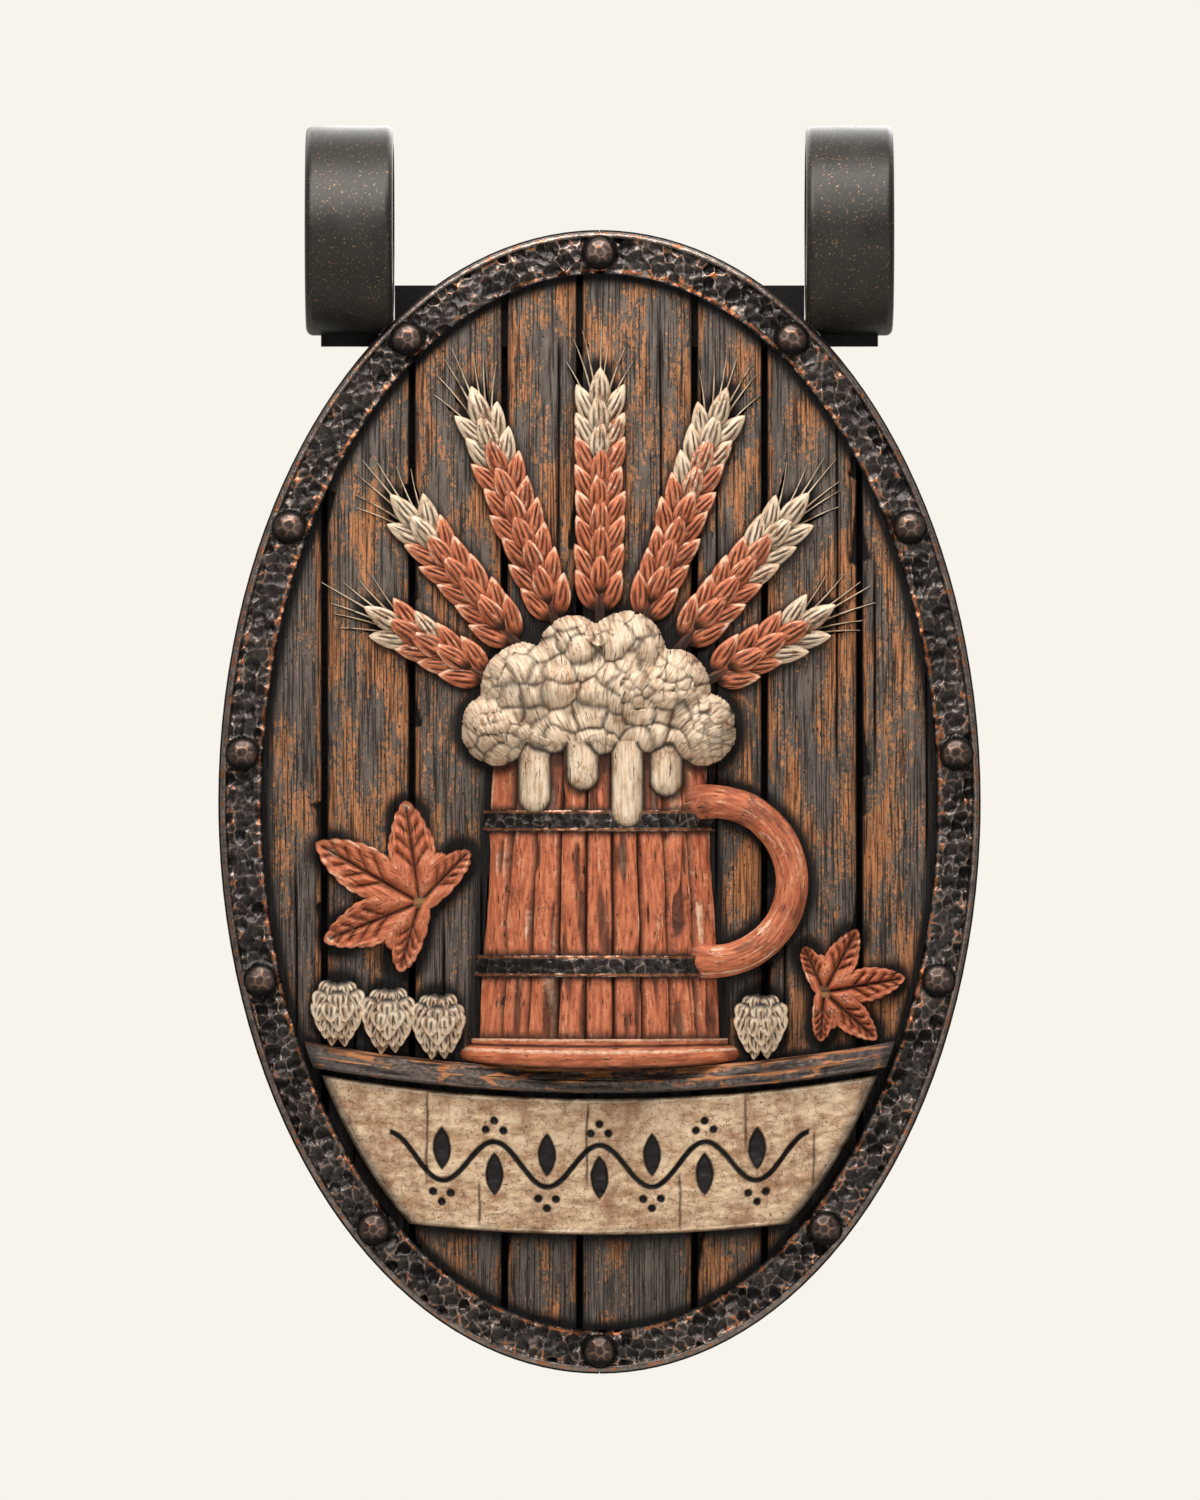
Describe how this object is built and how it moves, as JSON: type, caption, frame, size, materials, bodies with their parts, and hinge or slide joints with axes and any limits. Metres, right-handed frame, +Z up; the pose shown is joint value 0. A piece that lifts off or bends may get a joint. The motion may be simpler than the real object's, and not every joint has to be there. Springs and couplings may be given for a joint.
{
  "type": "hanging tavern sign",
  "caption": "Oval hanging tavern sign: riveted iron rim on planks, carved tankard with barley and hops over a banner, swinging from iron loops on a pole.",
  "frame": {"origin": "on the hanging pole's axis, midway between the two loops", "axes": "+X along the pole to the right as seen from the front, the carved front faces -Y, +Z up"},
  "size_m": [0.61, 0.168, 0.999],
  "materials": {
    "plank_wood": "matte",
    "board_wood": "matte",
    "hammered_iron": "satin",
    "rivet_iron": "satin",
    "strap_iron": "satin",
    "loop_iron": "satin",
    "ledge_wood": "matte",
    "banner_paint": "matte",
    "russet_paint": "matte",
    "cream_paint": "matte",
    "peg_wood": "matte",
    "bush_wood": "satin"
  },
  "bodies": {
    "pole_bushes": {"left_pole_bush": "bush_wood", "right_pole_bush": "bush_wood"},
    "sign": {"front_plank_1": "plank_wood", "front_plank_2": "plank_wood", "front_plank_3": "plank_wood", "front_plank_4": "plank_wood", "front_plank_5": "plank_wood", "front_plank_6": "plank_wood", "front_plank_7": "plank_wood", "front_plank_8": "plank_wood", "back_board_1": "board_wood", "back_board_2": "board_wood", "back_board_3": "board_wood", "back_board_4": "board_wood", "back_board_5": "board_wood", "back_board_6": "board_wood", "back_board_7": "board_wood", "front_rim": "hammered_iron", "rim_rivets": "rivet_iron", "rivet_roves": "rivet_iron", "left_back_rim": "strap_iron", "right_back_rim": "strap_iron", "left_edge_band": "strap_iron", "right_edge_band": "strap_iron", "hanger_bar": "strap_iron", "loop_rivets": "strap_iron", "bar_bolts": "strap_iron", "board_nails": "strap_iron", "lower_hoop": "strap_iron", "upper_hoop": "strap_iron", "left_hanger_loop": "loop_iron", "right_hanger_loop": "loop_iron", "banner_ledge": "ledge_wood", "banner_board": "banner_paint", "tankard_body": "russet_paint", "tankard_foot": "russet_paint", "tankard_handle": "russet_paint", "left_hop_leaf": "russet_paint", "right_hop_leaf": "russet_paint", "barley_ear_1": "russet_paint", "barley_ear_2": "russet_paint", "barley_ear_3": "russet_paint", "barley_ear_4": "russet_paint", "barley_ear_5": "russet_paint", "barley_ear_6": "russet_paint", "barley_ear_7": "russet_paint", "foam_head": "cream_paint", "hop_cones": "cream_paint", "banner_pegs": "peg_wood", "carving_pegs": "peg_wood"}
  },
  "joints": [
    {"name": "sign_swing", "type": "hinge", "parent": "pole_bushes", "child": "sign", "pos_m": [0, 0, -0.036], "axis": [1, 0, 0], "range_deg": [-40, 40]}
  ]
}
